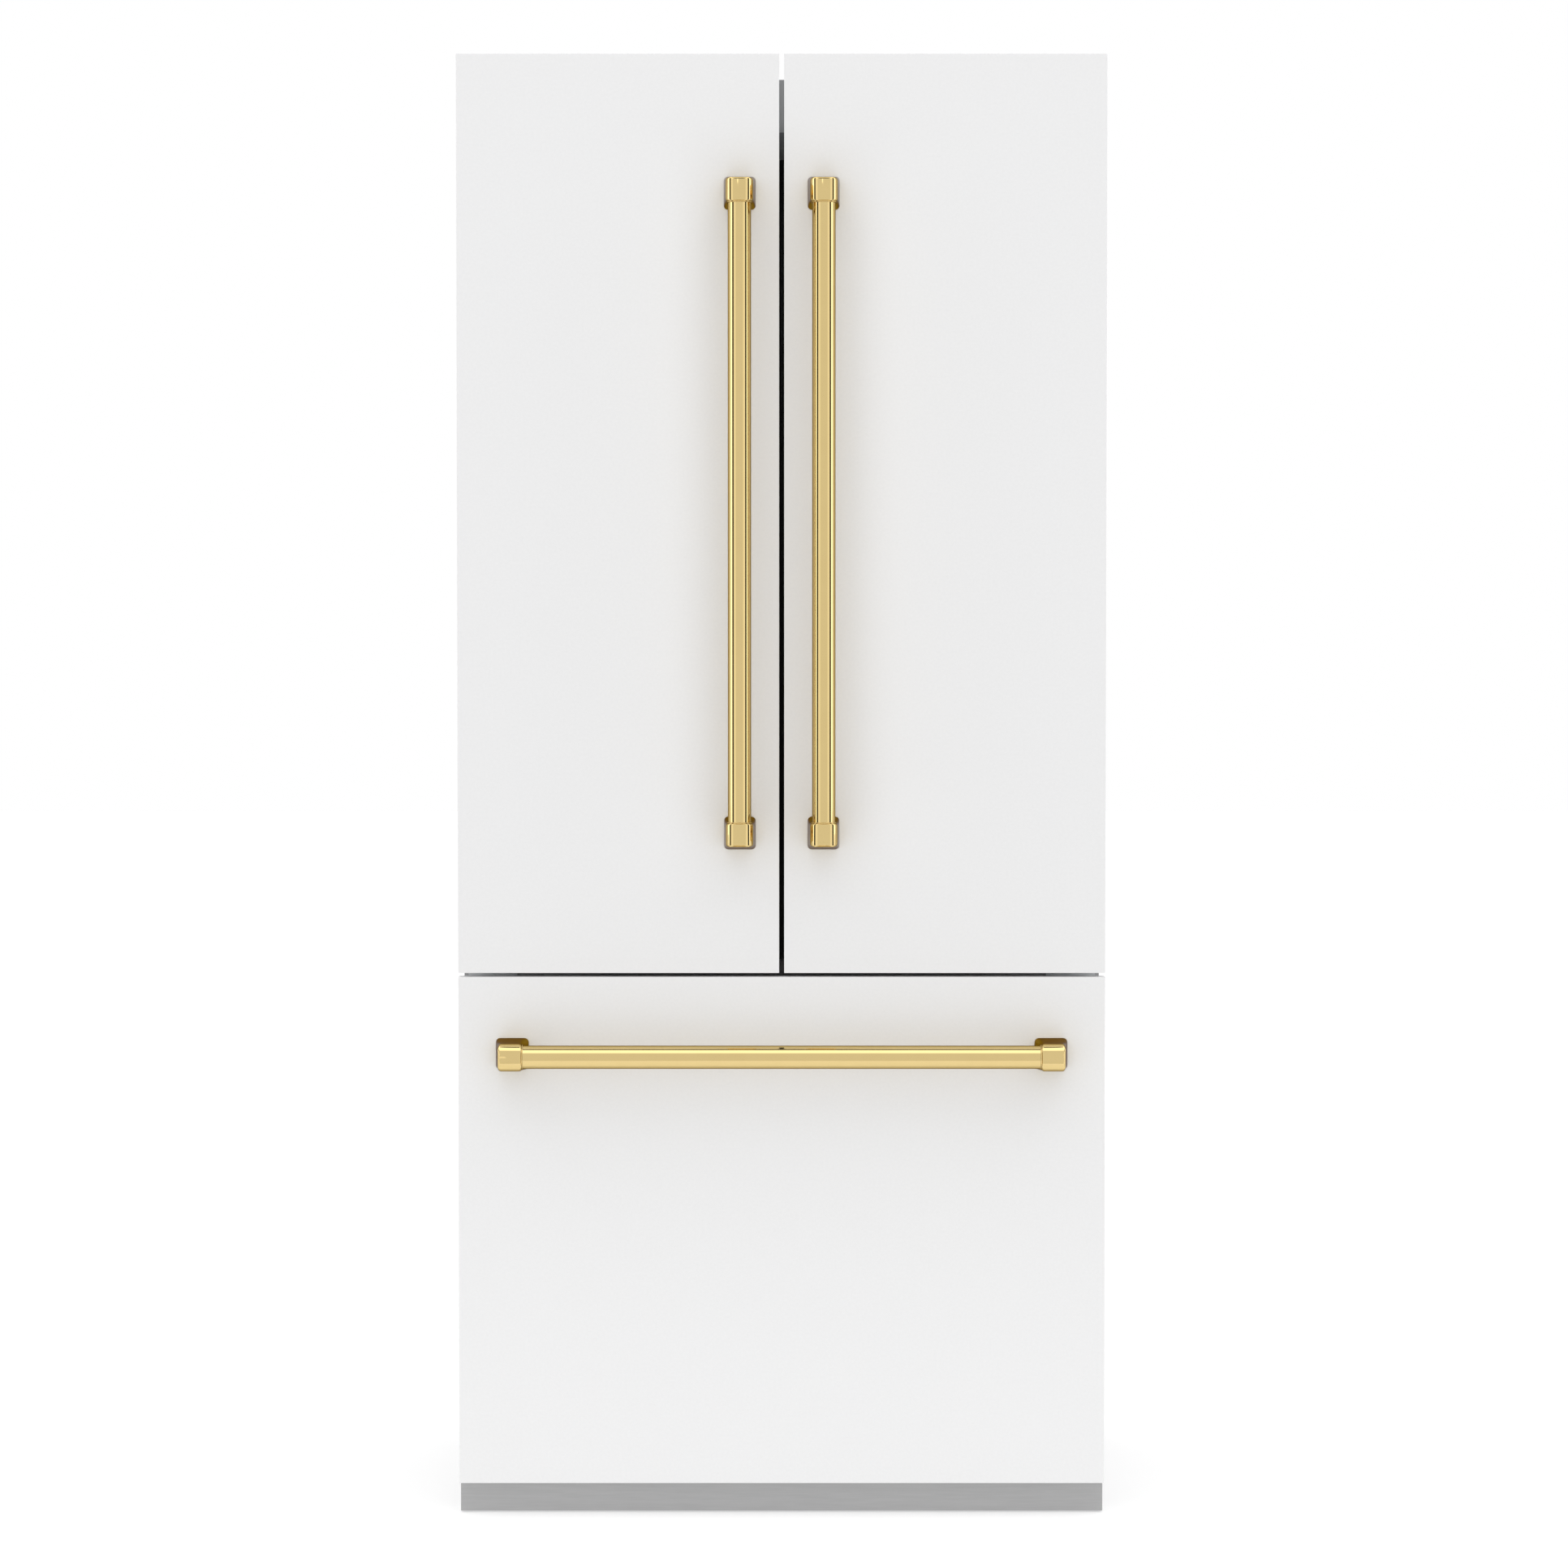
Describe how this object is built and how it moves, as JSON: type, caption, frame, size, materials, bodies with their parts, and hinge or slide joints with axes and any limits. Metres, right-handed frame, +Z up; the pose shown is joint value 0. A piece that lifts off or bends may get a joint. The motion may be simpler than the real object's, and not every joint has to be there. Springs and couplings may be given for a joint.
{
  "type": "french door refrigerator",
  "caption": "Tall built-in refrigerator with two side-by-side doors over a full-width freezer drawer, flat overlay panels and round bar handles on end brackets.",
  "frame": {"origin": "centre of the bounding box's footprint, on the floor", "axes": "+Z up, the doors and the drawer face -Y, left and right are as seen from the front, so -X is left"},
  "size_m": [0.9, 0.674, 2.032],
  "materials": {
    "white_panel": "matte",
    "gold_finish": "polished",
    "grey_steel": "satin",
    "kick_steel": "satin",
    "foam": "matte",
    "liner_plastic": "satin",
    "door_core": "satin",
    "seal_rubber": "matte",
    "dark_plastic": "satin",
    "clear_plastic": "gloss",
    "shelf_glass": "gloss",
    "shelf_trim": "satin",
    "zinc_steel": "satin",
    "copper_tube": "satin",
    "compressor_shell": "satin"
  },
  "bodies": {
    "cabinet": {"cabinet_case": "grey_steel", "cabinet_back": "zinc_steel", "insulation_foam": "foam", "fridge_liner": "liner_plastic", "freezer_liner": "liner_plastic", "base_frame": "zinc_steel", "front_leg_left": "dark_plastic", "front_leg_right": "dark_plastic", "kick_plate": "kick_steel", "compressor": "compressor_shell", "condenser_coil": "copper_tube", "condenser_fan_shroud": "dark_plastic", "freezer_back_cover": "liner_plastic", "evaporator_coil": "copper_tube", "air_duct_cover": "liner_plastic", "control_panel": "shelf_trim", "lower_shelf_frame": "shelf_trim", "lower_shelf_glass": "shelf_glass", "upper_shelf_frame": "shelf_trim", "upper_shelf_glass": "shelf_glass", "crisper_cover": "shelf_glass", "mullion_guide": "dark_plastic", "upper_hinge_left": "zinc_steel", "upper_hinge_right": "zinc_steel", "centre_hinge_left": "zinc_steel", "centre_hinge_right": "zinc_steel", "slide_outer_left": "zinc_steel", "slide_outer_right": "zinc_steel"},
    "left_door": {"left_door_panel": "white_panel", "left_door_body": "door_core", "left_door_gasket": "seal_rubber", "left_handle_bar": "gold_finish", "left_handle_post_top": "gold_finish", "left_handle_post_bottom": "gold_finish", "left_bin_bottom": "clear_plastic", "left_bin_middle": "clear_plastic", "left_bin_top": "clear_plastic"},
    "right_door": {"right_door_panel": "white_panel", "right_door_body": "door_core", "right_door_gasket": "seal_rubber", "right_handle_bar": "gold_finish", "right_handle_post_top": "gold_finish", "right_handle_post_bottom": "gold_finish", "right_bin_bottom": "clear_plastic", "right_bin_middle": "clear_plastic", "right_bin_top": "clear_plastic"},
    "mullion": {"mullion": "dark_plastic"},
    "freezer_drawer": {"drawer_panel": "white_panel", "drawer_body": "door_core", "drawer_gasket": "seal_rubber", "drawer_handle_bar": "gold_finish", "drawer_handle_post_left": "gold_finish", "drawer_handle_post_right": "gold_finish", "freezer_lower_basket": "clear_plastic"},
    "slide_middle": {"slide_middle": "zinc_steel"},
    "upper_basket": {"freezer_upper_basket": "clear_plastic"},
    "crisper_left": {"crisper_left": "clear_plastic"},
    "crisper_right": {"crisper_right": "clear_plastic"},
    "condenser_fan": {"condenser_fan": "dark_plastic"},
    "evaporator_fan": {"evaporator_fan": "dark_plastic"}
  },
  "joints": [
    {"name": "left_door_hinge", "type": "hinge", "parent": "cabinet", "child": "left_door", "pos_m": [-0.432, -0.243, 1.35], "axis": [0, 0, -1], "range_deg": [0, 110]},
    {"name": "right_door_hinge", "type": "hinge", "parent": "cabinet", "child": "right_door", "pos_m": [0.432, -0.243, 1.35], "axis": [0, 0, 1], "range_deg": [0, 110]},
    {"name": "mullion_flip", "type": "hinge", "parent": "left_door", "child": "mullion", "pos_m": [-0.029, -0.1865, 1.35], "axis": [0, 0, -1], "range_deg": [0, 90]},
    {"name": "freezer_drawer_slide", "type": "slide", "parent": "cabinet", "child": "freezer_drawer", "axis": [0, -1, 0], "range_m": [0, 0.45]},
    {"name": "slide_middle_travel", "type": "slide", "parent": "cabinet", "child": "slide_middle", "axis": [0, -1, 0], "range_m": [0, 0.225]},
    {"name": "upper_basket_travel", "type": "slide", "parent": "cabinet", "child": "upper_basket", "axis": [0, -1, 0], "range_m": [0, 0.27]},
    {"name": "crisper_left_slide", "type": "slide", "parent": "cabinet", "child": "crisper_left", "axis": [0, -1, 0], "range_m": [0, 0.11]},
    {"name": "crisper_right_slide", "type": "slide", "parent": "cabinet", "child": "crisper_right", "axis": [0, -1, 0], "range_m": [0, 0.11]},
    {"name": "condenser_fan_spin", "type": "hinge", "parent": "cabinet", "child": "condenser_fan", "pos_m": [-0.013, 0.235, 0.147], "axis": [1, 0, 0], "continuous": true},
    {"name": "evaporator_fan_spin", "type": "hinge", "parent": "cabinet", "child": "evaporator_fan", "pos_m": [0, 0.235, 0.632], "axis": [0, 1, 0], "continuous": true}
  ],
  "couplings": [
    {"joint": "slide_middle_travel", "follows": "freezer_drawer_slide", "ratio": 0.5},
    {"joint": "upper_basket_travel", "follows": "freezer_drawer_slide", "ratio": 0.6}
  ]
}
